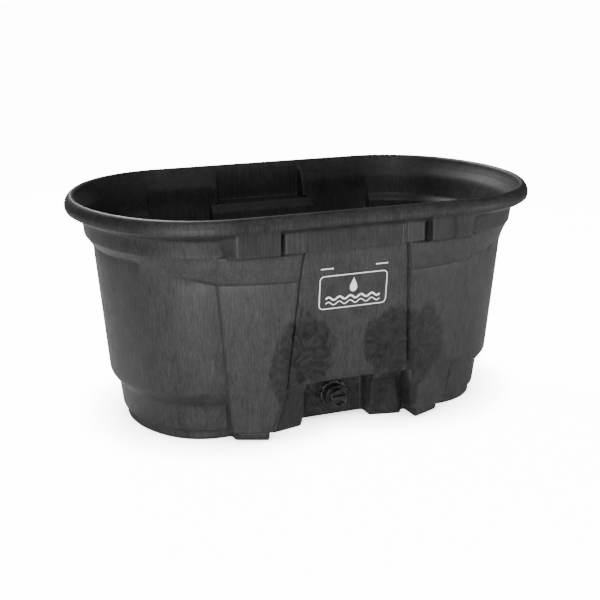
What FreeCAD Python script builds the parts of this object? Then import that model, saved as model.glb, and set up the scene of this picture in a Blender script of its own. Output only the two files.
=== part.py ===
import FreeCAD, Part
import math
import os

# Livestock water trough: an oval stock tank moulded in one piece, with a screw drain plug.
# Origin: centre of the base on the ground. X runs along the tank, -Y is the drain side, +Z is up.
# "Inset" always means the distance inwards from the rim's outermost edge, square to it in plan.

# ---- driving dimensions, millimetres ----
LENGTH = 1346.0
WIDTH = 787.0
HEIGHT = 635.0
WALL = 7.0                      # moulded wall
FLOOR_TOP = 24.0                # the floor's upper face
CORNER_RADIUS = 330.0           # plan corner arcs at the rim
CORNER_ANGLE = 35.0             # where a corner arc meets the flatter end arc

# (height, inset) of the outer skin from the ground up
OUTER_SKIN = [(0, 148), (24, 148), (32, 137), (105, 128), (118, 117), (137, 104), (500, 72),
              (512, 64), (530, 50), (577, 44), (588, 16), (597, 0), (617, 0), (629, 6), (635, 18)]
# (height, inset) of the inner skin from the floor up
INNER_SKIN = [(FLOOR_TOP, 160), (40, 144), (105, 135), (137, 112), (500, 80), (514, 66),
              (577, 51), (600, 37), (620, 27), (HEIGHT, 24)]

# the hollow under the rolled rim: (height, outer inset, inner inset)
RIM_HOLLOW = [(580, 7, 40), (600, 7, 30), (626, 8, 17)]

# side band: the upper band's second step, along the long sides only
BAND_SKIN = [(456, 73), (500, 56), (531, 52)]
BAND_FULL = 370.0               # half length over which the band is full height
BAND_END = 600.0                # half length at which it has run out
BAND_END_RISE = 47.0            # how far its lower edge climbs on the way

# pilasters: one level each of (height, inner x, outer x, inner inset, middle inset, outer inset)
PILASTER = [(28, 204, 322, 62, 76, 104), (155, 177, 337, 49, 62, 93), (456, 154, 368, 17, 33, 64),
            (500, 150, 370, 12, 22, 52), (531, 146, 372, 9, 17, 46)]
POCKET_INSET = 27.0             # inset of the pocket behind the panel's head
# the tank's own wall behind the pilasters: its water side, which slopes in from the upper band
BACK_TOP, BACK_INSET, BACK_SLOPE = 577.0, 51.0, 0.0885
WALL_INSET_LOW, WALL_INSET_HIGH = 102.0, 72.0   # the main wall behind the panel

# lifting blocks under the rim
BLOCK_IN, BLOCK_FACE, BLOCK_OUT = 214.0, 332.0, 376.0
BLOCK_BOTTOM, BLOCK_TOP = 526.0, 612.0
BLOCK_INSET = 3.0
SLOT_IN, SLOT_OUT = 204.0, 214.0        # finger slot between the strip and the block
SLOT_SILL, SLOT_TOP, SLOT_INSET = 531.0, 600.0, 43.0

# centre panel
PANEL_HALF_TOP, PANEL_HALF_BOTTOM = 148.0, 180.0   # its sides run into the pilasters
PANEL_BOTTOM = 155.0
PANEL_TOP = 612.0
PANEL_INSET = 18.0              # at PANEL_SILL
PANEL_SILL = 531.0
PANEL_SLOPE = 0.1064
WINDOW_HALF, WINDOW_DEPTH = 136.0, 5.0
LEDGE_TOP, LEDGE_FOOT, LEDGE_DEPTH = 525.0, 519.0, 47.0
LEDGE_HALF = 157.0

# legs, feet and drain recess
UNDERSIDE = 17.0                # height of the floor's lower face inside the base ring
LEG_IN = 93.0                   # half width of the recess at its back wall
LEG_GAP = 8.0                   # between a leg's outer side and the pilaster beside it
LEG_INNER, LEG_OUTER = 146.0, 122.0     # insets of a leg's front at its two sides
LEG_DRAFT = 8.0                 # how much further out a leg's head is
FOOT_IN, FOOT_OUT = 220.0, 306.0
FOOT_INNER, FOOT_OUTER = 78.0, 116.0
RECESS_WALL = 175.0             # inset of the recess's back wall
RECESS_FLARE, FLARE_INSET = 106.0, 148.0        # the recess widens to this half width
RECESS_ARCH = 10.0              # how far its foot stands off the ground

# drain fitting, measured outwards from the recess wall
DRAIN_HEIGHT = 76.0
HOLE_RADIUS = 30.5
BARREL_RADIUS = 30.0
DRAIN_BORE = 20.3
PLUG_RADIUS = 20.0
FLANGE_RADIUS = 42.0
NUT_RADIUS = 41.0
BARREL_END = 34.0
SEAL_GAP = 0.15
HEAD_FACE = 54.0

HALF_W = WIDTH / 2
RECESS_Y = -(HALF_W - RECESS_WALL)


def vec(x, y, z):
    return FreeCAD.Vector(x, y, z)


def plan_wire(inset, z):
    """The oval at one level: two straight sides, four corner arcs and two end arcs."""
    a = math.radians(CORNER_ANGLE)
    rise = HALF_W - CORNER_RADIUS
    end_radius = CORNER_RADIUS + rise / math.sin(a)
    corner_x = LENGTH / 2 - end_radius + rise / math.tan(a)
    end_x = LENGTH / 2 - end_radius
    r, e, b = CORNER_RADIUS - inset, end_radius - inset, HALF_W - inset

    def corner(angle, sx, sy):
        return vec(sx * (corner_x + r * math.cos(angle)), sy * (rise + r * math.sin(angle)), z)

    edges = []
    top, mid = math.pi / 2, (math.pi / 2 + a) / 2
    for sx, sy in ((1, -1), (1, 1), (-1, 1), (-1, -1)):
        low_first = (sx, sy) in ((1, -1), (-1, 1))
        path = [corner(top, sx, sy), corner(mid, sx, sy), corner(a, sx, sy)]
        if not low_first:
            path.reverse()
        edges.append(Part.Arc(*path).toShape())
        if low_first:
            edges.append(Part.Arc(corner(a, sx, sy), vec(sx * (end_x + e), 0, z),
                                  corner(a, sx, -sy)).toShape())
        else:
            edges.append(Part.LineSegment(corner(top, sx, sy), corner(top, -sx, sy)).toShape())
    return Part.Wire(Part.__sortEdges__(edges))


def loft(wires):
    return Part.makeLoft(wires, True, True)


def skin_loft(levels):
    return loft([plan_wire(inset, z) for z, inset in levels])


def polygon(points):
    return Part.makePolygon(points + [points[0]])


def block(x0, x1, y0, y1, z0, z1):
    return Part.makeBox(x1 - x0, y1 - y0, z1 - z0, vec(x0, y0, z0))


def front_y(inset):
    return -(HALF_W - inset)


def cylinder(radius, start, end):
    """A round piece on the drain's axis, between two distances out of the recess wall."""
    return Part.makeCylinder(radius, end - start, vec(0, RECESS_Y - start, DRAIN_HEIGHT), vec(0, -1, 0))


def ring(outer, inner, start, end):
    return cylinder(outer, start, end).cut(cylinder(inner, start - 1, end + 1))


def mirrored_x(shape):
    return [shape, shape.mirror(vec(0, 0, 0), vec(1, 0, 0))]


def four_ways(shape):
    pair = mirrored_x(shape)
    return pair + [s.mirror(vec(0, 0, 0), vec(0, 1, 0)) for s in pair]


def two_ways(shape):
    return [shape, shape.mirror(vec(0, 0, 0), vec(0, 1, 0))]


# ---- outer forms ----
def rim_hollow():
    """The open groove behind the rim's lip, which the blocks and panels close."""
    outer = loft([plan_wire(outer, z) for z, outer, inner in RIM_HOLLOW])
    inner = loft([plan_wire(inner, z) for z, outer, inner in RIM_HOLLOW])
    return outer.cut(inner)


def side_band():
    """The second step, whose lower edge climbs until it runs out towards the ends."""
    ring_band = skin_loft(BAND_SKIN)
    low, high = BAND_SKIN[0][0], BAND_SKIN[-1][0]
    outline = polygon([vec(-BAND_END, -WIDTH, low + BAND_END_RISE), vec(-BAND_FULL, -WIDTH, low),
                       vec(BAND_FULL, -WIDTH, low), vec(BAND_END, -WIDTH, low + BAND_END_RISE),
                       vec(BAND_END, -WIDTH, high), vec(-BAND_END, -WIDTH, high)])
    return ring_band.common(Part.Face(outline).extrude(vec(0, 2 * WIDTH, 0)))


def back_inset(z):
    return BACK_INSET + (BACK_TOP - z) * BACK_SLOPE


def bow_wire(z, x_in, x_out, insets, back):
    """One level of a pilaster: a bowed front through three insets, and a straight back."""
    inner, middle, outer = insets
    middle = min(middle, (inner + outer) / 2 - 2)
    start, end = vec(x_in, front_y(inner), z), vec(x_out, front_y(outer), z)
    crown = vec((x_in + x_out) / 2, front_y(middle), z)
    rear_out, rear_in = vec(x_out, front_y(back), z), vec(x_in, front_y(back), z)
    return Part.Wire([Part.Arc(start, crown, end).toShape(), Part.LineSegment(end, rear_out).toShape(),
                      Part.LineSegment(rear_out, rear_in).toShape(),
                      Part.LineSegment(rear_in, start).toShape()])


def pilaster():
    return loft([bow_wire(z, x_in, x_out, insets, 190) for z, x_in, x_out, *insets in PILASTER])


def pilaster_bay():
    """The water side behind a pilaster, which has no ledge between the band and the floor."""
    levels = [(FLOOR_TOP + WALL + 12,) + PILASTER[0][1:]] + list(PILASTER[1:])
    levels.append((BACK_TOP,) + PILASTER[-1][1:])
    wires = []
    for z, x_in, x_out, *insets in levels:
        least = back_inset(z)
        skins = [least if z == BACK_TOP else max(i + WALL, least) for i in insets]
        wires.append(bow_wire(z, x_in + WALL, x_out - WALL, (skins[0], skins[1], skins[2] + 3), 190))
    return loft(wires)


def shelf_strip():
    """The strip beside the panel, which slopes in towards the slot beside the block."""
    sill = PILASTER[-1][0]
    outline = [vec(PANEL_HALF_TOP - 4, front_y(11), sill - 4), vec(SLOT_IN, front_y(26), sill - 4),
               vec(SLOT_IN, front_y(60), sill - 4), vec(PANEL_HALF_TOP - 4, front_y(60), sill - 4)]
    return Part.Face(polygon(outline)).extrude(vec(0, 0, BLOCK_TOP - sill + 4))


def lifting_block():
    outline = [vec(BLOCK_IN, front_y(BLOCK_INSET), BLOCK_BOTTOM),
               vec(BLOCK_FACE, front_y(BLOCK_INSET), BLOCK_BOTTOM),
               vec((BLOCK_FACE + BLOCK_OUT) / 2, front_y(30), BLOCK_BOTTOM),
               vec(BLOCK_OUT, front_y(45), BLOCK_BOTTOM),
               vec(BLOCK_OUT, front_y(60), BLOCK_BOTTOM), vec(BLOCK_IN, front_y(60), BLOCK_BOTTOM)]
    return Part.Face(polygon(outline)).extrude(vec(0, 0, BLOCK_TOP - BLOCK_BOTTOM))


def slab(levels):
    """A drafted block from (z, (x0, x1), front inset, back inset) levels."""
    wires = []
    for z, (x0, x1), front, back in levels:
        wires.append(polygon([vec(x0, front_y(front), z), vec(x1, front_y(front), z),
                              vec(x1, front_y(back), z), vec(x0, front_y(back), z)]))
    return loft(wires)


def panel_inset(z):
    return PANEL_INSET + (PANEL_SILL - z) * PANEL_SLOPE


def centre_panel():
    lower = (-PANEL_HALF_BOTTOM, PANEL_HALF_BOTTOM)
    upper = (-PANEL_HALF_TOP, PANEL_HALF_TOP)
    panel = slab([(PANEL_BOTTOM, lower, panel_inset(PANEL_BOTTOM), 190),
                  (PANEL_SILL, upper, panel_inset(PANEL_SILL), 100)])
    head = slab([(PANEL_SILL, upper, PANEL_INSET, 100), (PANEL_TOP, upper, PANEL_INSET - 4, 100)])
    return panel.fuse(head)


def window():
    """The shallow rectangle above the sill."""
    half = (-WINDOW_HALF, WINDOW_HALF)
    return slab([(PANEL_SILL, half, -20, PANEL_INSET + WINDOW_DEPTH),
                 (598, half, -20, PANEL_INSET - 3 + WINDOW_DEPTH)])


def slanted_block(x0, x1, inset0, inset1, z0, z1, draft):
    """A block whose front runs between two insets, and moves out by the draft towards its top."""
    wires = []
    for z, lean in ((z0, 0), (z1, draft)):
        wires.append(polygon([vec(x0, front_y(inset0 - lean), z), vec(x1, front_y(inset1 - lean), z),
                              vec(x1, front_y(190), z), vec(x0, front_y(190), z)]))
    return loft(wires)


def leg():
    outer_side = PILASTER[0][1] - LEG_GAP
    return slanted_block(LEG_IN, outer_side, LEG_INNER, LEG_OUTER, 0, PANEL_BOTTOM + 2, LEG_DRAFT)


def leg_gap():
    """The narrow gap that parts a leg from the pilaster beside it, down to the tank's own wall."""
    (low_z, low_x), (high_z, high_x) = [level[:2] for level in PILASTER[:2]]
    wires = []
    for z, inset in [(-1, 140)] + OUTER_SKIN[2:6] + [(PANEL_BOTTOM, OUTER_SKIN[5][1] - 1)]:
        t = min(1, max(0, (z - low_z) / (high_z - low_z)))
        x = low_x + (high_x - low_x) * t
        wires.append(polygon([vec(x - LEG_GAP, front_y(40), z), vec(x, front_y(40), z),
                              vec(x, front_y(inset), z), vec(x - LEG_GAP, front_y(inset), z)]))
    return loft(wires)


def foot():
    return slanted_block(FOOT_IN, FOOT_OUT, FOOT_INNER, FOOT_OUTER, 0, PILASTER[0][0] + 1, 2)


def slot():
    """A finger slot, whose back comes forward under the rim as the wall does."""
    span = (SLOT_IN, SLOT_OUT)
    return slab([(SLOT_SILL, span, -20, SLOT_INSET), (BACK_TOP, span, -20, SLOT_INSET),
                 (SLOT_TOP, span, -20, SLOT_INSET - 15)])


# ---- inner forms ----
def panel_cavity():
    """The pocket behind the panel's head and the shallow shelf at its foot."""
    inner_half = PANEL_HALF_TOP - WALL
    pocket = slab([(LEDGE_TOP, (-inner_half, inner_half), POCKET_INSET, 190),
                   (HEIGHT + 5, (-inner_half, inner_half), POCKET_INSET, 190)])
    ledge = slab([(LEDGE_FOOT, (-LEDGE_HALF, LEDGE_HALF), POCKET_INSET + LEDGE_DEPTH, 190),
                  (LEDGE_TOP, (-inner_half, inner_half), POCKET_INSET, 190)])
    return pocket.fuse(ledge)


def panel_hollow():
    """The gap between the panel and the tank's own wall, open at the recess."""
    top_half = PANEL_HALF_TOP - 2
    foot_half = PANEL_HALF_BOTTOM - WALL - 2
    low, high = PANEL_BOTTOM - 1, LEDGE_FOOT - 13
    return slab([(low, (-foot_half, foot_half), panel_inset(low) + WALL, WALL_INSET_LOW - 2),
                 (high, (-top_half, top_half), panel_inset(high) + WALL, WALL_INSET_HIGH - 1)])


def recess():
    """The drain recess, whose sides flare towards the front."""
    outline = [vec(-LEG_IN, front_y(RECESS_WALL), -5), vec(LEG_IN, front_y(RECESS_WALL), -5),
               vec(RECESS_FLARE, front_y(FLARE_INSET), -5), vec(RECESS_FLARE, front_y(40), -5),
               vec(-RECESS_FLARE, front_y(40), -5), vec(-RECESS_FLARE, front_y(FLARE_INSET), -5)]
    return Part.Face(polygon(outline)).extrude(vec(0, 0, PANEL_BOTTOM + 5))


def recess_housing():
    """The wall round the recess, seen from the water side."""
    half = (-RECESS_FLARE - 2, RECESS_FLARE + 2)
    return slab([(RECESS_ARCH, half, 90, RECESS_WALL + WALL),
                 (PANEL_BOTTOM + WALL, half, 90, RECESS_WALL + WALL)])


def underside():
    """The hollow under the floor, inside the base ring and clear of the recess walls."""
    hollow = skin_loft([(-1, OUTER_SKIN[0][1] + WALL), (UNDERSIDE, OUTER_SKIN[0][1] + WALL)])
    across = RECESS_WALL + WALL
    inner = block(-LENGTH, LENGTH, front_y(across), -front_y(across), -2, UNDERSIDE + 1)
    return hollow.common(inner)


def tank_body():
    outer = skin_loft(OUTER_SKIN).cut(rim_hollow())
    forms = [side_band()] + four_ways(pilaster()) + four_ways(shelf_strip()) + four_ways(lifting_block())
    forms += two_ways(centre_panel()) + four_ways(leg()) + four_ways(foot())
    body = outer.multiFuse(forms)

    cavity = skin_loft(INNER_SKIN + [(HEIGHT + 5, INNER_SKIN[-1][1])])
    cavity = cavity.multiFuse(four_ways(pilaster_bay()))
    cavity = cavity.multiFuse(two_ways(panel_cavity()))
    housing = two_ways(recess_housing())
    cavity = cavity.cut(housing[0].fuse(housing[1]))

    body = body.cut(cavity)
    cuts = two_ways(recess()) + two_ways(window()) + two_ways(panel_hollow())
    cuts += four_ways(slot()) + four_ways(leg_gap())
    for tool in cuts:
        body = body.cut(tool)
    body = body.cut(underside())
    body = body.cut(block(-LEG_IN, LEG_IN, -WIDTH, WIDTH, -1, RECESS_ARCH))
    body = body.cut(cylinder(HOLE_RADIUS, -20, 10))
    return body.removeSplitter()


# ---- drain fitting ----
def drain_bushing():
    flange = ring(FLANGE_RADIUS, DRAIN_BORE, -WALL - 9, -WALL - 3)
    return flange.fuse(ring(BARREL_RADIUS, DRAIN_BORE, -WALL - 9, BARREL_END)).removeSplitter()


def drain_inner_gasket():
    return ring(FLANGE_RADIUS - 2, BARREL_RADIUS, -WALL - 3, -WALL)


def drain_outer_washer():
    return ring(NUT_RADIUS + 1, BARREL_RADIUS, 0, 2.5)


def drain_lock_nut():
    nut = ring(NUT_RADIUS, BARREL_RADIUS, 2.5, 18)
    for i in range(8):
        angle = i * 45 + 22.5
        notch = Part.makeCylinder(6, 14, vec(0, RECESS_Y - 6, DRAIN_HEIGHT + NUT_RADIUS + 2), vec(0, -1, 0))
        notch.rotate(vec(0, 0, DRAIN_HEIGHT), vec(0, 1, 0), angle)
        nut = nut.cut(notch)
    return nut


def plug_seal():
    return ring(BARREL_RADIUS - 4, DRAIN_BORE, BARREL_END + SEAL_GAP, BARREL_END + 3)


def drain_plug():
    head_back = BARREL_END + 3 + SEAL_GAP
    shank = cylinder(PLUG_RADIUS, BARREL_END - 20, head_back + 1)
    head = cylinder(BARREL_RADIUS - 5, head_back, HEAD_FACE)
    cup = cylinder(BARREL_RADIUS - 9, HEAD_FACE - 11, HEAD_FACE + 1)
    bar = block(-BARREL_RADIUS + 8, BARREL_RADIUS - 8, RECESS_Y - HEAD_FACE + 1, RECESS_Y - HEAD_FACE + 12,
                DRAIN_HEIGHT - 5, DRAIN_HEIGHT + 5)
    return shank.fuse(head.cut(cup)).fuse(bar).removeSplitter()


def label_plate():
    """A thin plate on the panel's sloping face."""
    half_w, z0, z1, thick = 101.0, 366.0, 486.0, 0.6
    wires = []
    for z in (z0, z1):
        y = front_y(panel_inset(z))
        wires.append(polygon([vec(-half_w, y, z), vec(half_w, y, z),
                              vec(half_w, y - thick, z), vec(-half_w, y - thick, z)]))
    return loft(wires)


def main():
    os.makedirs("parts", exist_ok=True)
    makers = (tank_body, drain_bushing, drain_inner_gasket, drain_outer_washer, drain_lock_nut,
              drain_plug, plug_seal, label_plate)
    for make in makers:
        shape = make()
        name = make.__name__
        print(name, shape.isValid(), len(shape.Solids), round(shape.Volume / 1e6, 4), "litres",
              shape.BoundBox)
        shape.exportStep("parts/" + name + ".step")


main()
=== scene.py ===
# %% [markdown]
# # A moulded stock tank with a screw drain plug
# The tank is one seamless moulding in dark structural foam. Everything on it comes from the same
# sheet of plastic: a rolled rim, stepped bands, bowed pilasters, a centre panel, legs and a recess.
# So the whole tank is made as one sheet wrapped round an oval, and only the drain fitting and the
# label are pieces of their own. The sheet has no hole for the drain: the fitting passes through it.
# The frame gives the bodies that the pieces ride on.

# %% Load the frame
import bmesh
import bpy
import math
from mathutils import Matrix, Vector


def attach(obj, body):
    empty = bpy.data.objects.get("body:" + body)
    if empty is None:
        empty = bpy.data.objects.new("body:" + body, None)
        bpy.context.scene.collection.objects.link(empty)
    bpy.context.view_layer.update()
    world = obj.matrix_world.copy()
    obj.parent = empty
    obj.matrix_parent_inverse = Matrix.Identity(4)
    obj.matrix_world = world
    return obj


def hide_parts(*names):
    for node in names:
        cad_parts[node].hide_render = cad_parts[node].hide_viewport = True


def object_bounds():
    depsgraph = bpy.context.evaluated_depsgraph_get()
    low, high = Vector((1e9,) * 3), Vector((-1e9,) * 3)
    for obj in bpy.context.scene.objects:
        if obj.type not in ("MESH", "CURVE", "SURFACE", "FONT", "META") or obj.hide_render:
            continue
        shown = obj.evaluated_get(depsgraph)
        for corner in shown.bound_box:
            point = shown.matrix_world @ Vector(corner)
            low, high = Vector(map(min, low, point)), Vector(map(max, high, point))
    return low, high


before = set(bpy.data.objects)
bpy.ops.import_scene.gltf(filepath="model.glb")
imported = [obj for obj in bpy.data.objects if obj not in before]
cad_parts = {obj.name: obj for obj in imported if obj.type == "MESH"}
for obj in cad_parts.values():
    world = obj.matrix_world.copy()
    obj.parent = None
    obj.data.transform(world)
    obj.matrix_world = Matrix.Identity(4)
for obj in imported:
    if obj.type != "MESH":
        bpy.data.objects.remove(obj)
cad_low, cad_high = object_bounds()


# %% [markdown]
# ## The camera
# The camera comes first, because every later choice is judged through it. It stands to the left of
# the drain side and a little above the rim, with a long lens, so that the oval looks only slightly
# deeper at the near end. A very small shift centres the tank in the picture.

# %% Camera
AIM = Vector((0.0, 0.0, 0.300))
CAMERA_TURN = math.radians(-22.4)
CAMERA_RISE = math.radians(16.3)
CAMERA_AWAY = 3.437

camera_data = bpy.data.cameras.new("studio_camera")
camera_data.lens = 70.3
camera_data.sensor_width = 36.0
camera_data.shift_x = -0.0032
camera_data.shift_y = -0.0073
camera = bpy.data.objects.new("studio_camera", camera_data)
bpy.context.scene.collection.objects.link(camera)
back = Vector((math.sin(CAMERA_TURN) * math.cos(CAMERA_RISE),
               -math.cos(CAMERA_TURN) * math.cos(CAMERA_RISE), math.sin(CAMERA_RISE)))
camera.location = AIM + back * CAMERA_AWAY
camera.rotation_euler = (-back).to_track_quat("-Z", "Y").to_euler()
bpy.context.scene.camera = camera
print("camera stands at", tuple(round(v, 3) for v in camera.location))


# %% [markdown]
# ## The oval
# Seen from above, the rim is two straight sides, four corner arcs and two flatter end arcs. Every
# level of the tank is the same oval moved inwards by some inset. A place on the wall is therefore
# two numbers: how far along the rim it is from the middle of a long side, and its inset.

# %% The oval and its insets
HALF_LENGTH = (cad_high[0] - cad_low[0]) / 2
HALF_WIDTH = (cad_high[1] - cad_low[1]) / 2
RIM_HEIGHT = cad_high[2]
CORNER_RADIUS = 0.330
CORNER_ANGLE = math.radians(35)
WALL_INSET = .060        # a typical inset of the wall, for turning a place along the rim into an x
PAST_FEATURES = .700     # an x beyond every feature, for the tank's ends
SAMPLE_HEIGHT = .3       # halfway up, where lines are counted

CORNER_RISE = HALF_WIDTH - CORNER_RADIUS
END_RADIUS = CORNER_RADIUS + CORNER_RISE / math.sin(CORNER_ANGLE)
END_X = HALF_LENGTH - END_RADIUS
CORNER_X = END_X + CORNER_RISE / math.tan(CORNER_ANGLE)
CORNER_SWEEP = math.pi / 2 - CORNER_ANGLE
CORNER_LENGTH = CORNER_RADIUS * CORNER_SWEEP
QUARTER = CORNER_X + CORNER_LENGTH + END_RADIUS * CORNER_ANGLE


def on_oval(along, inset):
    """The point of the first quarter that is this far along the rim, moved in by the inset."""
    if along <= CORNER_X:
        return along, HALF_WIDTH - inset
    if along <= CORNER_X + CORNER_LENGTH:
        turn = (along - CORNER_X) / CORNER_RADIUS
        reach = CORNER_RADIUS - inset
        return CORNER_X + reach * math.sin(turn), CORNER_RISE + reach * math.cos(turn)
    turn = CORNER_SWEEP + (along - CORNER_X - CORNER_LENGTH) / END_RADIUS
    reach = END_RADIUS - inset
    return END_X + reach * math.sin(turn), reach * math.cos(turn)


def along_at(x):
    """How far along the rim a place with this x is."""
    if x <= CORNER_X:
        return x
    return CORNER_X + CORNER_RADIUS * math.asin(min(1.0, (x - CORNER_X) / (CORNER_RADIUS - WALL_INSET)))


def x_along(along):
    """The x of a place this far along the rim, or one past every feature near the ends."""
    return on_oval(along, WALL_INSET)[0] if along < CORNER_X + CORNER_LENGTH else PAST_FEATURES


def track(points, at):
    """Reads a list of (position, value) points as a line of straight runs."""
    if at <= points[0][0]:
        return points[0][1]
    for (p0, v0), (p1, v1) in zip(points, points[1:]):
        if at <= p1:
            return v0 + (v1 - v0) * (at - p0) / (p1 - p0)
    return points[-1][1]


print("a quarter of the rim is", round(QUARTER, 4), "m long")


# %% [markdown]
# ## The outside of the wall
# The wall is read as an inset for each place and height. The plain wall comes first. Each moulded
# feature then says how far out it reaches, and the one that reaches furthest wins, which is how
# overlapping features merge in a real mould. The recess, the window and the slots are cut in last.

# %% Outside features
PLAIN_WALL = [(0, .148), (.024, .148), (.032, .137), (.105, .128), (.118, .117), (.137, .104),
              (.500, .072), (.512, .064), (.530, .050), (.577, .044), (.588, .016), (.597, .002),
              (.603, 0), (.613, 0), (.622, .003), (.629, .0075), (.6335, .013), (.635, .018)]
PANEL_BOTTOM, PANEL_TOP, SILL = .155, .612, .531
PANEL_SIDE = [(.028, .204), (.155, .177), (.456, .154), (.500, .150), (.531, .146)]
PILASTER_SIDE = [(.028, .322), (.155, .337), (.456, .368), (.500, .370), (.531, .372)]
PILASTER_INNER = [(.028, .062), (.155, .049), (.456, .017), (.500, .012), (.531, .009)]
PILASTER_MIDDLE = [(.028, .076), (.155, .062), (.456, .033), (.500, .022), (.531, .017)]
PILASTER_OUTER = [(.028, .104), (.155, .093), (.456, .064), (.500, .052), (.531, .046)]
EDGE_WIDE = [(.028, .034), (.100, .020), (.155, .012), (.531, .012)]
EDGE_DEEP = [(.028, .026), (.100, .016), (.155, .012), (.531, .012)]
LEG_SIDE_GAP = .008
LEG_FRONT = [(.104, .146), (.200, .122)]
BLOCK_IN, BLOCK_STEP, BLOCK_FACE = .214, .283, .332
BLOCK_OUT = [(.531, .347), (.612, .384)]
SLOT_IN, SLOT_TOP = .204, .600
WINDOW_HALF, WINDOW_TOP, WINDOW_DEPTH = .136, .598, .005
FOOT_TOP, FOOT_IN, FOOT_OUT = .0285, .220, .306
FOOT_FRONT = [(FOOT_IN, .078), (FOOT_OUT, .116)]
RECESS_IN, RECESS_OUT, RECESS_INSET, FLARE_INSET = .0935, .1055, .175, .148
BAND_LOW, BAND_STEP, PANEL_LINE = .456, .500, .4655
BAND_FADE_FROM, BAND_FADE_OVER, BAND_CLIMB = .370, .230, .047
PANEL_INSET, PANEL_SLOPE, PANEL_STEP = .018, .1064, .001
CREASE = .007


def band_fade(x):
    """How far the side band has run out: 0 beside the pilasters, 1 towards the ends."""
    return min(1, max(0, (x - BAND_FADE_FROM) / BAND_FADE_OVER))


def band_low(x):
    """The lower edge of the side band, which climbs until it runs out towards the ends."""
    return BAND_LOW + BAND_CLIMB * band_fade(x)


def panel_inset(z):
    """The flat slope of the centre panel."""
    return PANEL_INSET + (SILL - z) * PANEL_SLOPE - (PANEL_STEP if z > PANEL_LINE else 0)


def bow(x, z):
    """A pilaster's front: a shallow curve through its inner, middle and outer insets."""
    inner, outer = track(PANEL_SIDE, z), track(PILASTER_SIDE, z)
    t = min(1, max(0, (x - inner) / (outer - inner)))
    return (track(PILASTER_INNER, z) * (1 - t) * (1 - 2 * t) + track(PILASTER_MIDDLE, z) * 4 * t * (1 - t)
            + track(PILASTER_OUTER, z) * t * (2 * t - 1))


def pilaster_front(x, z):
    """The bow, with a rounded edge beside the panel and a small step where the band begins."""
    beside = x - track(PANEL_SIDE, z)
    wide = track(EDGE_WIDE, z)
    turned = max(0, 1 - beside / wide)
    rounded = track(EDGE_DEEP, z) * (1 - math.sqrt(1 - turned * turned))
    step = (.0045 if z > BAND_LOW - .006 else .0025) * min(1, beside / .030) if z < BAND_LOW else 0
    return bow(x, z) + rounded + step


def head_inset(x, z):
    """The strip, the slot and the lifting block between the sill and the rim."""
    if x < SLOT_IN:
        return track([(.142, .011), (SLOT_IN, .019)], x)
    if x < BLOCK_IN:
        return track([(.577, .043), (SLOT_TOP, .030)], z) if z < SLOT_TOP else .026
    face = .0045 if x < BLOCK_STEP else .003
    return face + track([(BLOCK_FACE, 0), (BLOCK_FACE + .006, .005), (track(BLOCK_OUT, z), .042)], x)


def outside_inset(x, z):
    """How far in the outside is: the feature that reaches furthest out wins."""
    side = track(PANEL_SIDE, z)
    channel = .003 if band_low(x) - .006 < z < band_low(x) else 0
    reach = [track(PLAIN_WALL, z) + channel]
    if band_low(x) <= z <= SILL:
        fade = band_fade(x)
        reach.append(track([(band_low(x), .0705 - .001 * fade),
                            (BAND_STEP + .006 * fade, .056 + .011 * fade), (SILL, .051)], z))
    if side <= x <= track(PILASTER_SIDE, z) and FOOT_TOP < z <= SILL:
        reach.append(pilaster_front(x, z))
    if SILL < z < PANEL_TOP and side <= x <= track(BLOCK_OUT, z):
        reach.append(head_inset(x, z))
    panel = panel_inset(z)
    if x < side and PANEL_BOTTOM < z <= SILL:
        reach.append(panel + (.004 if z > SILL - .003 else 0))
    if x < side and SILL < z < PANEL_TOP:
        window = WINDOW_DEPTH if x < WINDOW_HALF and z < WINDOW_TOP else 0
        reach.append(track([(SILL, .0155), (PANEL_TOP, .013)], z) + window)
    if RECESS_IN < x < side - LEG_SIDE_GAP and z < PANEL_BOTTOM:
        flare = track([(RECESS_IN, RECESS_INSET), (RECESS_OUT, FLARE_INSET)], x)
        reach.append(flare if x < RECESS_OUT else track(LEG_FRONT, x) - .008 * z / PANEL_BOTTOM)
    if FOOT_IN < x < FOOT_OUT and z < FOOT_TOP:
        reach.append(track(FOOT_FRONT, x))
    if x <= RECESS_IN and z < PANEL_BOTTOM:
        return RECESS_INSET
    if side - .0002 < x < side + .0035 and PANEL_BOTTOM < z < SILL:
        return panel + CREASE
    return FLARE_INSET if RECESS_IN < x < RECESS_OUT and min(reach) > FLARE_INSET else min(reach)


# %% [markdown]
# ## The inside of the wall
# Away from the features, the inside follows the outside at about one wall thickness. Behind the
# panel and the pilasters it keeps to the tank's own wall, so the sheet is thick there, and the hollow
# behind the panel and the groove under the rim's lip are left out. The panel's head is a pocket over
# a shallow shelf, and the drain recess shows as a box at the floor.

# %% Inside features
PLAIN_INSIDE = [(.024, .160), (.030, .150), (.040, .144), (.105, .135), (.137, .112), (.500, .080),
                (.514, .066), (.577, .051), (.600, .037), (.620, .027), (.631, .0245), (.635, .018)]
SKIN = .007
FLOOR_HEIGHT, UNDERSIDE, ARCH = .024, .017, .010
POCKET_INSET = .027
LEDGE_TOP, LEDGE_FOOT, LEDGE_INSET = .525, .5195, .074
LEDGE_SIDE = [(LEDGE_FOOT, .157), (LEDGE_TOP, .137)]
BAY_SIDE = [(.043, .211), (.155, .186), (.430, .169), (.513, .169), (.545, .153)]
BAY_FLOOR, BAY_TOP, BAY_INSET, BAY_SLOPE = .043, .577, .051, .0885
HOUSING_HALF, HOUSING_TOP = .108, .162


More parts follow.
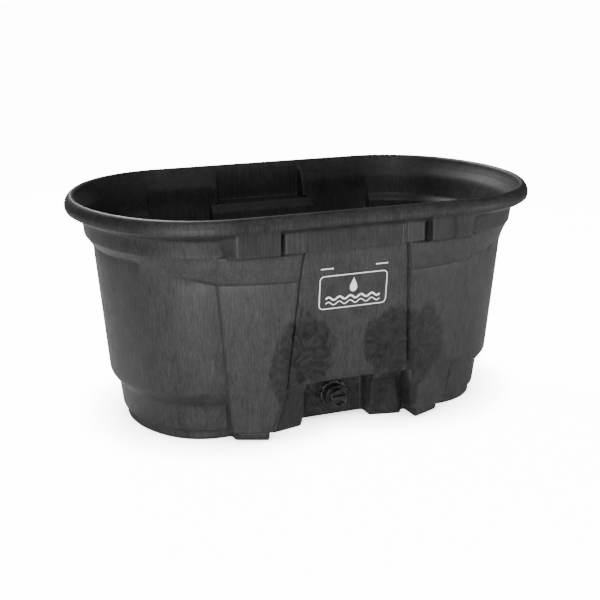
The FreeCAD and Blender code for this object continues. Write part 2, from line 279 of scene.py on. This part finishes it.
def inside_inset(x, z):
    """How far in the inside is, read the same way."""
    reach = [track(PLAIN_INSIDE, z)]
    if LEDGE_TOP <= z < RIM_HEIGHT - .002 and x < track(LEDGE_SIDE, z):
        reach.append(POCKET_INSET)
    if LEDGE_FOOT <= z < LEDGE_TOP and x < track(LEDGE_SIDE, z):
        reach.append(track([(LEDGE_FOOT, LEDGE_INSET), (LEDGE_TOP, POCKET_INSET)], z))
    if BAY_FLOOR < z < BAY_TOP and track(BAY_SIDE, z) < x < track(PILASTER_SIDE, z) - SKIN:
        reach.append(max(bow(x + SKIN, z) + SKIN, BAY_INSET + (BAY_TOP - z) * BAY_SLOPE))
    if x < HOUSING_HALF and z < HOUSING_TOP:
        return RECESS_INSET + SKIN
    return min(reach)


print("halfway up, the inside's inset is", round(inside_inset(0, SAMPLE_HEIGHT), 4),
      "and the outside's", round(outside_inset(0, SAMPLE_HEIGHT), 4))


# %% [markdown]
# ## Where the sheet's lines run
# A crease is only crisp if the sheet has lines along it, so the columns and the rows are placed from
# the features. Each edge gets a pair of lines about 2 mm apart, which becomes its small moulded
# radius, and between the pairs the lines are spread evenly. Some edges lean, so a column's place
# depends on the height it is read at. One fault is known: near the two ends, where the band runs
# out, its upper rows pass the step's rows, so the sheet folds back on itself by about 8 mm and some
# edges there have four faces. The fold lies flat in the wall.

# %% Columns
PAIR = .0009


def outside_columns(z):
    """(place along the rim, how many steps lead to it) for one quarter at one height."""
    side = track(PANEL_SIDE, z)
    outer = along_at(track(PILASTER_SIDE[:-1] + [(.529, .372), (.537, .350), (PANEL_TOP, .384)], z))
    leg = track([(.028, .196), (PANEL_BOTTOM, .169), (SILL, .1415)], z)
    slot_in = track([(.028, FOOT_IN), (PANEL_BOTTOM, .212), (SILL, SLOT_IN)], z)
    slot_out = track([(.028, .227), (PANEL_BOTTOM, .220), (SILL, BLOCK_IN)], z)
    middle = track([(.028, .262), (.526, BLOCK_STEP)], z)
    face = track([(.028, FOOT_OUT), (.526, BLOCK_FACE)], z)
    return [(0, 0), (.086, 7), (RECESS_IN, 1), (.0995, 1), (RECESS_OUT, 1), (.109, 1), (.130, 3),
            (WINDOW_HALF - PAIR, 1), (WINDOW_HALF + PAIR, 1), (leg - PAIR, 3), (leg + PAIR, 1),
            (side - PAIR, 2), (side + PAIR, 1), (side + .003, 1), (side + .007, 1), (side + .012, 1),
            (slot_in - PAIR, 6), (slot_in + PAIR, 1), (slot_out - PAIR, 2), (slot_out + PAIR, 1),
            (slot_out + .004, 1), (middle - PAIR, 6), (middle + PAIR, 1), (face - PAIR, 5),
            (face + PAIR, 1), (face + .005, 1), (outer - .006, 4), (outer - .002, 1),
            (outer + .002, 1), (outer + .006, 1), (QUARTER, 44)]


def inside_columns(z):
    """The same number of columns, moved to the edges of the inside."""
    ledge, bay = track(LEDGE_SIDE, z), track(BAY_SIDE, z)
    outer = along_at(track(PILASTER_SIDE, z) - SKIN)
    return [(0, 0), (.086, 7), (.100, 1), (HOUSING_HALF - PAIR, 1), (HOUSING_HALF + PAIR, 1),
            (.112, 1), (ledge - .005, 3), (ledge - PAIR, 1), (ledge + PAIR, 1), (bay - .002, 3),
            (bay - PAIR * 1.5, 1), (bay - PAIR, 2), (bay + PAIR, 1), (bay + .0025, 1), (bay + .012, 2),
            (.290, 25), (outer - .006, 4), (outer - .002, 1), (outer + .002, 1), (outer + .006, 1),
            (QUARTER, 44)]


def spread(stops):
    """Turns (place, steps) stops into every place in between."""
    places = [stops[0][0]]
    for place, steps in stops[1:]:
        start = places[-1]
        places += [start + (place - start) * k / steps for k in range(1, steps + 1)]
    return places


COLUMNS = len(spread(outside_columns(SAMPLE_HEIGHT))) - 1
assert COLUMNS == len(spread(inside_columns(SAMPLE_HEIGHT))) - 1
print("columns in a quarter:", COLUMNS)


# %% Rows
def outside_rows(x):
    """Every height of the outside at one place, from the ground up to the top of the rim."""
    low, step = band_low(x), BAND_STEP + .006 * band_fade(x)
    ground = ARCH if x < RECESS_OUT else 0
    return spread([(ground, 0), (.021, 2), (.0255, 1), (FOOT_TOP - PAIR, 1), (FOOT_TOP + PAIR, 1),
                   (.034, 2), (.060, 2), (.101, 3), (.106, 1), (.118, 2), (.134, 2), (.140, 1),
                   (PANEL_BOTTOM - .004, 1), (PANEL_BOTTOM - PAIR, 1), (PANEL_BOTTOM + PAIR, 1),
                   (PANEL_BOTTOM + .004, 1), (low - .009, 14), (low - .005, 1), (low - .001, 1),
                   (low + .0015, 1), (low + .004, 1), (low + .0088, 1), (low + .0102, 1),
                   (step - .001, 2), (step + .001, 1), (.512, 1), (.526, 2), (SILL - PAIR, 1),
                   (SILL + PAIR, 1), (.535, 1), (.572, 4), (.577, 1), (.580, 1), (.588, 2), (.593, 1),
                   (WINDOW_TOP - PAIR, 1), (SLOT_TOP, 1), (.604, 1), (PANEL_TOP - PAIR, 1),
                   (PANEL_TOP + PAIR, 1), (.618, 1), (.622, 1), (.6255, 1), (.629, 1), (.6315, 1),
                   (.6335, 1), (.6346, 1), (RIM_HEIGHT, 1)])


def inside_rows():
    """Every height of the inside, from just under the rim's top down to the floor."""
    return spread([(.6346, 0), (.6335, 1), (.631, 1), (.626, 1), (.620, 1), (.612, 1),
                   (.606, 1), (.600, 2), (.577, 3), (.549, 3), (.530, 3),
                   (LEDGE_TOP + .0006, 1), (LEDGE_TOP - .0004, 1), (LEDGE_FOOT + .0004, 5),
                   (LEDGE_FOOT - .0006, 1), (.515, 1), (.508, 1), (.500, 1), (.495, 1),
                   (HOUSING_TOP + .004, 16), (HOUSING_TOP + PAIR, 1), (HOUSING_TOP - PAIR, 1),
                   (.141, 2), (.133, 1), (.109, 2),
                   (.101, 1), (.046, 4), (.042, 1), (.038, 1), (.030, 1), (.026, 1), (FLOOR_HEIGHT, 1)])


UNDER_INSETS = (.320, .270, .220, .186)
FLOOR_INSETS = (.188, .220, .270, .320)
OUT_ROWS, IN_ROWS = len(outside_rows(0)), len(inside_rows())
ROWS = len(UNDER_INSETS) + 2 + OUT_ROWS + IN_ROWS + len(FLOOR_INSETS)
print("rows in the sheet:", ROWS)


# %% [markdown]
# ## Wrapping the sheet
# Blender's grid operator makes a flat sheet with the right number of lines. Each point is then moved
# to its place: first under the floor, out over the base ring, up the outside, over the rim, down the
# inside and in across the floor. The two ends of the sheet meet, so they are merged, and the two open
# rings left in the middle of the floor and of the underside are filled.

# %% Wrap the sheet
SAME_PLACE = 1e-6
SOFTENING = .3


def quarter_of(column):
    """Which quarter a column is in, its step in that quarter, and the quarter's two signs."""
    quarter, step = divmod(column % (4 * COLUMNS), COLUMNS)
    if quarter % 2:
        step = COLUMNS - step
    return step, (1 if quarter < 2 else -1), (-1 if quarter in (0, 3) else 1)


def ring_inner(along):
    """The inner edge of the base ring, which is wider along the straight sides."""
    return .182 - .027 * min(1, max(0, (along - CORNER_X) / .180))


def wall_place(step, row):
    """(place along the rim, inset, height) of one line crossing."""
    nominal = spread(outside_columns(SAMPLE_HEIGHT))[step]
    if row < len(UNDER_INSETS):
        return nominal, UNDER_INSETS[row], UNDERSIDE
    row -= len(UNDER_INSETS)
    foot = spread(outside_columns(0))[step]
    if row < 2:
        ground = ARCH if foot < RECESS_OUT else 0
        return foot, ring_inner(foot), (UNDERSIDE - .001 if row == 0 else ground)
    row -= 2
    if row < OUT_ROWS:
        z = outside_rows(nominal)[row]
        along = spread(outside_columns(z))[step]
        height = outside_rows(along)[row]
        return along, outside_inset(x_along(along), height), height
    row -= OUT_ROWS
    if row < IN_ROWS:
        z = inside_rows()[row]
        blend = min(1, max(0, (RIM_HEIGHT - z) / .012))
        outer, inner = spread(outside_columns(z))[step], spread(inside_columns(z))[step]
        along = outer + (inner - outer) * blend
        return along, inside_inset(x_along(along), z), z
    floor = spread(inside_columns(0))[step]
    return floor, FLOOR_INSETS[row - IN_ROWS], FLOOR_HEIGHT


def wrap_tank():
    """Moves every crossing of a flat grid to its place on the tank."""
    bm = bmesh.new()
    bmesh.ops.create_grid(bm, x_segments=4 * COLUMNS, y_segments=ROWS - 1, size=1)
    places = {}
    for v in bm.verts:
        column = round((v.co.x + 1) / 2 * 4 * COLUMNS)
        row = round((v.co.y + 1) / 2 * (ROWS - 1))
        step, sign_x, sign_y = quarter_of(column)
        if (step, row) not in places:
            places[step, row] = wall_place(step, row)
        along, inset, z = places[step, row]
        x, y = on_oval(along, inset)
        v.co = (sign_x * x, sign_y * y, z)
    bmesh.ops.remove_doubles(bm, verts=bm.verts, dist=SAME_PLACE)
    bmesh.ops.smooth_vert(bm, verts=bm.verts, factor=SOFTENING,
                          use_axis_x=True, use_axis_y=True, use_axis_z=True)
    bmesh.ops.holes_fill(bm, edges=[e for e in bm.edges if e.is_boundary], sides=0)
    bmesh.ops.recalc_face_normals(bm, faces=bm.faces)
    return bm


def finished(bm, name, smooth=True):
    """Puts a bmesh into the scene as an object at the origin, and counts its faulty edges."""
    for face in bm.faces:
        face.smooth = smooth
    odd = sum(len(edge.link_faces) != 2 for edge in bm.edges)
    print(name, "has", len(bm.faces), "faces and", odd, "edges without exactly two faces")
    mesh = bpy.data.meshes.new(name)
    bm.to_mesh(mesh)
    bm.free()
    piece = bpy.data.objects.new(name, mesh)
    bpy.context.scene.collection.objects.link(piece)
    return piece


tank = finished(wrap_tank(), "tank_moulding")
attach(tank, "tank")
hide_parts("tank_body")
weighted = tank.modifiers.new("flat_faces_first", "WEIGHTED_NORMAL")
weighted.weight = 80


# %% [markdown]
# ## The drain fitting
# The drain's pieces are turned on a lathe: a profile of (radius, distance out from the recess wall)
# is spun round the drain's axis. Threads are cut afterwards, by drawing points in or out along a
# helix, so the plug's thread shows when it is unscrewed. The lock nut gets eight grip notches.

# %% Turned pieces
DRAIN_HEIGHT = .076
LATHE_STEPS, NUT_STEPS, PLUG_STEPS = 96, 320, 160
ON_RADIUS = 1e-5
RECESS_Y = -(HALF_WIDTH - RECESS_INSET)
THREAD_PITCH, THREAD_FADE = .004, .002


def turned(bm, profile, steps=LATHE_STEPS, closed=True):
    """Spins a profile of (radius, distance out) round the drain's axis."""
    points = [bm.verts.new((0, RECESS_Y - out, DRAIN_HEIGHT + radius)) for radius, out in profile]
    lines = [bm.edges.new(pair) for pair in zip(points, points[1:])]
    if closed:
        lines.append(bm.edges.new((points[-1], points[0])))
    bmesh.ops.spin(bm, geom=points + lines, cent=(0, 0, DRAIN_HEIGHT), axis=(0, 1, 0),
                   angle=2 * math.pi, steps=steps, use_merge=True)
    bmesh.ops.remove_doubles(bm, verts=bm.verts, dist=SAME_PLACE)
    bmesh.ops.recalc_face_normals(bm, faces=bm.faces)
    return bm


def polar(v):
    """A point's distance out from the recess wall, its distance from the axis and its turn."""
    rise = v.co.z - DRAIN_HEIGHT
    return RECESS_Y - v.co.y, math.hypot(v.co.x, rise), math.atan2(v.co.x, rise)


def draw_out(v, grow):
    """Moves a point straight away from the axis by a factor."""
    v.co.x *= grow
    v.co.z = DRAIN_HEIGHT + (v.co.z - DRAIN_HEIGHT) * grow


def cut_thread(bm, radius, start, end, depth):
    """Draws the points of one cylinder in or out along a helix, fading at its two ends."""
    for v in bm.verts:
        out, reach, turn = polar(v)
        if abs(reach - radius) < ON_RADIUS and start <= out <= end:
            crest = .5 - .5 * math.cos(2 * math.pi * out / THREAD_PITCH + turn)
            fade = min(1, (out - start) / THREAD_FADE, (end - out) / THREAD_FADE)
            draw_out(v, 1 + depth * crest * fade / reach)


def rows(radius, start, end, count):
    """Evenly spaced places along one cylinder."""
    return [(radius, start + (end - start) * k / count) for k in range(count + 1)]


def fitting(bm, name, body, node):
    """Finishes a turned piece and says what it rides on and replaces."""
    piece = finished(bm, name)
    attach(piece, body)
    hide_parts(node)
    piece.modifiers.new("flat_faces_first", "WEIGHTED_NORMAL")
    return piece


# %% Bushing and lock nut
bm = turned(bmesh.new(), rows(.0203, -.0155, .0335, 98) + [(.0208, .034), (.0292, .034), (.0298, .0334)]
            + rows(.030, .0330, .0190, 28) + [(.030, -.010), (.0415, -.010), (.042, -.0105),
                                              (.042, -.0155), (.0415, -.016), (.0208, -.016)])
cut_thread(bm, .0203, -.012, .031, .0008)
cut_thread(bm, .030, .0190, .0330, -.0009)
bushing = fitting(bm, "drain_bushing_moulding", "tank", "drain_bushing")

NOTCHES, NOTCH_RADIUS, NOTCH_CENTRE = 8, .006, .043
NUT_RADIUS, NUT_SHOULDER, NOTCH_LEAN = .041, .0349, .5
bm = turned(bmesh.new(), [(.0302, .0025), (.0398, .0025), (.0408, .0032), (.041, .0040)]
            + rows(.041, .0052, .0158, 4) + [(.0408, .0168), (.0396, .0176), (.0380, .0179), (.0350, .0180),
                                             (.0320, .0180), (.0310, .0177), (.0302, .0170)],
            steps=NUT_STEPS)
for v in bm.verts:
    out, reach, turn = polar(v)
    aside = abs((turn / (2 * math.pi) * NOTCHES) % 1 - .5) * 2 * math.pi / NOTCHES * reach
    if reach > NUT_SHOULDER and aside < NOTCH_RADIUS:
        lean = (NUT_RADIUS - reach) * NOTCH_LEAN
        deep = NOTCH_CENTRE - math.sqrt(NOTCH_RADIUS ** 2 - aside ** 2) - lean
        if deep < reach:
            draw_out(v, deep / reach)
lock_nut = fitting(bm, "drain_lock_nut_moulding", "tank", "drain_lock_nut")


# %% Plug and seals
def rounded_bar(bm, half, centre, radius):
    """A block with rounded edges, kept closed."""
    made = bmesh.ops.create_cube(bm, size=1)["verts"]
    for v in made:
        v.co = Vector(c * 2 * h + m for c, h, m in zip(v.co, half, centre))
    edges = list({edge for v in made for edge in v.link_edges})
    bmesh.ops.bevel(bm, geom=edges, offset=radius, segments=4, profile=.5, affect="EDGES", material=-1)


CAP_RADIUS, RIDGES, RIDGE_DEPTH = .025, 40, .0005
bm = turned(bmesh.new(), [(0, -.014), (.0188, -.014), (.0194, -.0136)] + rows(.0198, -.013, .0365, 99)
            + [(.0198, .0372), (.0242, .0372), (.0250, .0380)] + rows(CAP_RADIUS, .0395, .0520, 5)
            + [(.0248, .0533), (.0240, .0540), (.0222, .0540), (.0213, .0535), (.0210, .0525),
               (.0210, .0438), (.0204, .0431), (.0190, .0430), (.010, .0430), (0, .0430)],
           steps=PLUG_STEPS, closed=False)
cut_thread(bm, .0198, -.012, .033, -.0010)
for v in bm.verts:
    out, reach, turn = polar(v)
    if abs(reach - CAP_RADIUS) < ON_RADIUS and .0390 < out < .0525:
        draw_out(v, 1 - RIDGE_DEPTH * (.5 + .5 * math.cos(RIDGES * turn)) / reach)
rounded_bar(bm, (.0208, .0054, .0048), (0, RECESS_Y - .0476, DRAIN_HEIGHT), .0014)
plug = fitting(bm, "drain_plug_moulding", "plug", "drain_plug")

bm = turned(bmesh.new(), [(.0204, .0345), (.0208, .03418), (.0252, .03418), (.0259, .0346), (.0260, .0355),
                          (.0259, .0364), (.0252, .0369), (.0208, .0369), (.0204, .0365)])
seal = fitting(bm, "plug_seal_ring", "seal", "plug_seal")
bm = turned(bmesh.new(), [(.0302, .0004), (.0308, .0001), (.0412, .0001), (.0419, .0006), (.0419, .0019),
                          (.0412, .0024), (.0308, .0024), (.0302, .0021)])
washer = fitting(bm, "outer_washer_ring", "tank", "drain_outer_washer")
bm = turned(bmesh.new(), [(.0302, -.0097), (.0308, -.0099), (.0392, -.0099), (.0399, -.0094),
                          (.0399, -.0076), (.0392, -.0071), (.0308, -.0071), (.0302, -.0074)])
gasket = fitting(bm, "inner_gasket_ring", "tank", "drain_inner_gasket")


# %% [markdown]
# ## The mark on the panel
# White ink is printed straight on the panel. The mark is a generic one: a plain rounded frame, two
# rows of waves and a drop, with a short bar on either side above it where small print would be.
# Each stroke is a ribbon laid along a path, given the thickness of a heavy coat of ink.

# %% Printed mark
INK_THICK, INK_SUNK = .0006, -.0002
MARK_LEFT, MARK_RIGHT, MARK_LOW, MARK_HIGH = -.1000, .0930, .3690, .4600
MARK_MIDDLE = (MARK_LEFT + MARK_RIGHT) / 2


def on_panel(x, z, lift=0):
    """A place on the panel's slope, lifted off it or sunk in it."""
    return Vector((x, panel_inset(z) - HALF_WIDTH - lift, z))


def thicken(bm, faces):
    """Gives flat faces the thickness of the ink."""
    made = bmesh.ops.extrude_face_region(bm, geom=faces)["geom"]
    bmesh.ops.translate(bm, verts=[v for v in made if isinstance(v, bmesh.types.BMVert)],
                        vec=(0, -INK_THICK, 0))


def stroke(bm, path, width, loop=False):
    """A ribbon of ink along a path of (x, z) places."""
    ends = []
    for k, (x, z) in enumerate(path):
        before = path[k - 1] if loop or k else path[0]
        after = path[(k + 1) % len(path)] if loop or k < len(path) - 1 else path[-1]
        side = Vector((before[1] - after[1], after[0] - before[0])).normalized() * width / 2
        ends.append([bm.verts.new(on_panel(x + side.x * s, z + side.y * s, INK_SUNK)) for s in (1, -1)])
    pairs = list(zip(ends, ends[1:])) + ([(ends[-1], ends[0])] if loop else [])
    thicken(bm, [bm.faces.new((a[0], a[1], b[1], b[0])) for a, b in pairs])


def rounded_frame(x0, x1, z0, z1, radius, steps=10):
    """The path of a frame with rounded corners."""
    path = []
    for cx, cz, start in ((x1 - radius, z1 - radius, 0), (x0 + radius, z1 - radius, 90),
                          (x0 + radius, z0 + radius, 180), (x1 - radius, z0 + radius, 270)):
        for k in range(steps + 1):
            angle = math.radians(start + 90 * k / steps)
            path.append((cx + radius * math.cos(angle), cz + radius * math.sin(angle)))
    return path


def wave(z, reach, tall, crests, steps=96):
    """The path of a row of waves about the middle of the mark."""
    return [(MARK_MIDDLE - reach + 2 * reach * k / steps,
             z + tall * math.sin(2 * math.pi * crests * k / steps)) for k in range(steps + 1)]


def drop(x, z, radius, steps=40):
    """The outline of a drop of water with its point upwards."""
    path = []
    for k in range(steps):
        turn = 2 * math.pi * k / steps
        narrow = math.sin(turn / 2) ** 1.6
        path.append((x + radius * math.sin(turn) * narrow, z + radius * 1.35 * math.cos(turn)))
    return path


bm = bmesh.new()
stroke(bm, rounded_frame(MARK_LEFT, MARK_RIGHT, MARK_LOW, MARK_HIGH, .012), .0030, loop=True)
stroke(bm, wave(.3965, .078, .0042, 5), .0052)
stroke(bm, wave(.3830, .078, .0042, 5), .0030)
outline = [bm.verts.new(on_panel(x, z, INK_SUNK)) for x, z in drop(MARK_MIDDLE, .4310, .0150)]
thicken(bm, [bm.faces.new(outline)])
for bar in ((-.1000, -.0640), (.0570, .0930)):
    stroke(bm, [(bar[0] + (bar[1] - bar[0]) * k / 6, .4810) for k in range(7)], .0032)
bmesh.ops.recalc_face_normals(bm, faces=bm.faces)
mark = finished(bm, "printed_mark", smooth=False)
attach(mark, "tank")
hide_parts("label_plate")


# %% [markdown]
# ## Materials
# Every material is written as arithmetic on the place of a point, so it needs no pictures. A signal
# is one output of a material's nodes, and adding or multiplying signals adds the nodes for it.

# %% Signals
class Signal:
    """One output of a material's nodes, with the usual arithmetic."""

    def __init__(self, tree, socket):
        self.tree, self.socket = tree, socket

    def node(self, kind, inputs, output=0, **settings):
        """Adds any node, feeds its inputs with numbers or signals, and returns one output."""
        made = self.tree.nodes.new("ShaderNode" + kind)
        for name, value in settings.items():
            setattr(made, name, value)
        for name, value in inputs.items():
            if isinstance(value, Signal):
                self.tree.links.new(value.socket, made.inputs[name])
            else:
                made.inputs[name].default_value = value
        return Signal(self.tree, made.outputs[output])

    def math(self, operation, *values, clamp=False):
        """Adds a Math node that works on these values."""
        return self.node("Math", dict(enumerate(values)), operation=operation, use_clamp=clamp)

    def __add__(self, other):
        return self.math("ADD", self, other)

    def __sub__(self, other):
        return self.math("SUBTRACT", self, other)

    def __mul__(self, other):
        return self.math("MULTIPLY", self, other)

    def __truediv__(self, other):
        return self.math("DIVIDE", self, other)

    def __pow__(self, other):
        return self.math("POWER", self, other)

    def __radd__(self, other):
        return self.math("ADD", other, self)

    def __rsub__(self, other):
        return self.math("SUBTRACT", other, self)

    def __rmul__(self, other):
        return self.math("MULTIPLY", other, self)

    def __rtruediv__(self, other):
        return self.math("DIVIDE", other, self)

    def absolute(self):
        return self.math("ABSOLUTE", self)

    def larger(self, other):
        return self.math("MAXIMUM", self, other)

    def clamped(self):
        return self.math("ADD", self, 0, clamp=True)

    def stretched(self, x, y, z):
        """This place, scaled along each axis."""
        return self.node("VectorMath", {0: self, 1: (x, y, z)}, operation="MULTIPLY")

    def noise(self, scale, detail=4, rough=.55):
        """Cloudy noise about 0.5, read at this signal's place."""
        return self.node("TexNoise", {"Vector": self, "Scale": scale, "Detail": detail, "Roughness": rough})

    def blend(self, first, second):
        """Goes from one colour to another as this signal goes from 0 to 1."""
        return self.node("Mix", {0: self, 6: first, 7: second}, output=2, data_type="RGBA")


def grey(value, warm=0):
    """A grey, a little warmer or cooler where asked."""
    return value * (1 + warm), value, value * (1 - warm), 1


def material(name, slot_pieces, specular=.5):
    """A fresh material on some pieces; returns its place signal and a way to feed its shader."""
    made = bpy.data.materials.new(name)
    made.use_nodes = True
    shader = made.node_tree.nodes["Principled BSDF"]
    shader.inputs["Specular IOR Level"].default_value = specular
    for piece in slot_pieces:
        piece.data.materials.clear()
        piece.data.materials.append(made)
    texture = made.node_tree.nodes.new("ShaderNodeTexCoord")

    def feed(socket_name, signal):
        made.node_tree.links.new(signal.socket, shader.inputs[socket_name])

    return Signal(made.node_tree, texture.outputs["Object"]), feed


# %% [markdown]
# The tank's plastic is a foamed moulding. Its skin has fine upright flow streaks, soft mottling and
# a matte grain, and darker, smoother swirls where the melt reached the mould first: low on the
# panel, on the pilasters beside it and near the ground. Round the drain the recess is painted shade.

# %% Tank plastic
# (x, height, half width, half height, strength) of the swirls on the long sides
SWIRLS = [(-.130, .255, .080, .115, 1.0), (.130, .252, .095, .110, 1.0), (-.195, .200, .040, .100, .8),
          (.225, .235, .070, .125, .85), (-.430, .110, .050, .070, .7), (.330, .150, .050, .080, .5),
          (-.150, .050, .070, .105, .55), (.145, .050, .075, .105, .75)]

place, feed = material("tank_foam_plastic", [tank], specular=.34)
x, y, z = (place.node("SeparateXYZ", {0: place}, output=k) for k in range(3))
streak = place.stretched(230, 230, 7).noise(1, 5, .62)
fine_streak = place.stretched(720, 720, 26).noise(1, 3, .6)
mottle = place.noise(26, 6, .6)
cloud = place.stretched(1, 1, .45).noise(6.5, 4, .55)
ragged = place.stretched(1, 1, .35).noise(34, 5, .65)
depth = y.absolute()
skin_line = HALF_WIDTH - .044 - (SILL - z) * PANEL_SLOPE - ((.165 - z) * 40).clamped() * .050
outer_skin = ((depth - skin_line) * 250).clamped()
swirls_and_shade = x * 0
for centre_x, centre_z, wide, tall, strength in SWIRLS:
    across, up = (x - centre_x) / wide, (z - centre_z) / tall
    reach = (across * across + up * up) ** .5
    swirls_and_shade = swirls_and_shade.larger(((1.62 - reach - ragged * 1.3) * 8).clamped() * strength)
# Painted shade: the drain recess and the flanks beside it get the swirls' dark colour in place of shadow.
painted_recess_shade = ((.108 - x.absolute()) * 90).clamped() * ((.165 - z) * 120).clamped()
painted_recess_shade = painted_recess_shade * ((.252 - depth) * 60).clamped() * ((depth - .205) * 200).clamped()
swirls_and_shade = (swirls_and_shade * outer_skin).larger(painted_recess_shade)
push = place.node("TexNoise", {"Vector": place, "Scale": 9}, output=1)
bent = place.node("VectorMath", {0: place, 1: push}, operation="ADD")
curl = bent.noise(16, 5, .6)
# The head above the sill is made darker in colour.
head = ((z - .515) * 30).clamped() * .22
tone = (streak * .9 + fine_streak * .9 + mottle * .45 + cloud * .4 - .88 - head).clamped()
dry = tone.blend(grey(.004, .01), grey(.056, .01))
# The dark colour of the swirls, also used for the painted shade in the drain recess.
swirl_and_shade_colour = ((curl - .32) * 2.6).clamped().blend(grey(.001, -.02), grey(.024, .01))
scratch = (place.stretched(420, 420, 9).noise(1, 2, .5) * 9 - 5.9).clamped() * (1.1 - z * 1.8).clamped()
feed("Base Color", (swirls_and_shade * .9).blend((scratch * .35).blend(dry, grey(.11)), swirl_and_shade_colour))
feed("Roughness", (.52 + (mottle - .5) * .30 - swirls_and_shade * .16 + (fine_streak - .5) * .12).clamped())
grain = place.noise(900, 2, .5)
height = streak * .45 + fine_streak * .25 + grain * .35 + mottle * .6 + swirls_and_shade * (curl * .8 - .4)
feed("Normal", place.node("Bump", {"Strength": .35, "Distance": .0012, "Height": height}))
print("tank plastic nodes:", len(tank.data.materials[0].node_tree.nodes))


# %% Fitting, plug, rubber and ink
def small_plastic(name, pieces, dark, light, roughness, grain_height):
    place, feed = material(name, pieces)
    scuff, grain = place.stretched(1, .3, 1).noise(160, 5, .6), place.noise(1400, 2, .5)
    feed("Base Color", scuff.blend(grey(dark), grey(light)))
    feed("Roughness", (roughness + (scuff - .5) * .3 + (grain - .5) * .1).clamped())
    feed("Normal", place.node("Bump", {"Strength": .3, "Distance": grain_height, "Height": grain + scuff}))


small_plastic("fitting_black_plastic", [bushing, lock_nut], .004, .016, .34, .0003)
small_plastic("plug_black_plastic", [plug], .005, .020, .30, .0003)
small_plastic("seal_black_rubber", [seal, washer, gasket], .006, .014, .62, .0004)

place, feed = material("printed_white_ink", [mark])
worn = place.noise(340, 5, .7)
feed("Base Color", ((worn - .30) * 6).clamped().blend(grey(.45), grey(.86)))
feed("Roughness", (.42 + worn * .25).clamped())
feed("Normal", place.node("Bump", {"Strength": .2, "Distance": .0002, "Height": place.noise(1600, 2, .5)}))


# %% Floor and light
def area_light(name, place, size, power):
    """A round light that looks at the tank."""
    data = bpy.data.lights.new(name, "AREA")
    data.shape, data.size, data.energy = "DISK", size, power
    light = bpy.data.objects.new(name, data)
    bpy.context.scene.collection.objects.link(light)
    light.location = place
    light.rotation_euler = (Vector(place) - AIM).to_track_quat("Z", "Y").to_euler()


def seen_or_lit(tree, seen, lit):
    """A strength that is one number for the camera and another for the light it sheds."""
    path = tree.nodes.new("ShaderNodeLightPath")
    return Signal(tree, path.outputs["Is Camera Ray"]) * (seen - lit) + lit


world = bpy.data.worlds.new("studio")
world.use_nodes = True
sky = world.node_tree.nodes["Background"]
sky.inputs["Color"].default_value = (1, 1, 1, 1)
world.node_tree.links.new(seen_or_lit(world.node_tree, 16, .14).socket, sky.inputs["Strength"])
bpy.context.scene.world = world
area_light("key_light", (-2.0, -3.6, 0.55), 1.1, 152)
area_light("side_light", (3.0, -2.6, 0.55), 1.0, 55)
area_light("rim_light", (-0.3, 2.0, 2.4), 0.8, 120)
area_light("high_light", (-0.9, -2.4, 3.2), 0.7, 48)

bm = bmesh.new()
bmesh.ops.create_grid(bm, x_segments=1, y_segments=1, size=30)
floor = finished(bm, "studio_floor", smooth=False)
paper = bpy.data.materials.new("floor_paper")
paper.use_nodes = True
surface = paper.node_tree.nodes["Principled BSDF"]
surface.inputs["Base Color"].default_value = (.93, .93, .93, 1)
surface.inputs["Roughness"].default_value = .9
surface.inputs["Emission Strength"].default_value = 1
# Painted contact shadow: the floor's glow for the camera is dimmed by ambient occlusion close to the tank.
corner = paper.node_tree.nodes.new("ShaderNodeAmbientOcclusion")
corner.inputs["Distance"].default_value = .16
painted_contact_shadow = Signal(paper.node_tree, corner.outputs["AO"])
glow = seen_or_lit(paper.node_tree, 14, 0) * (.12 + .88 * painted_contact_shadow ** 1.6)
paper.node_tree.links.new(glow.socket, surface.inputs["Emission Color"])
floor.data.materials.append(paper)
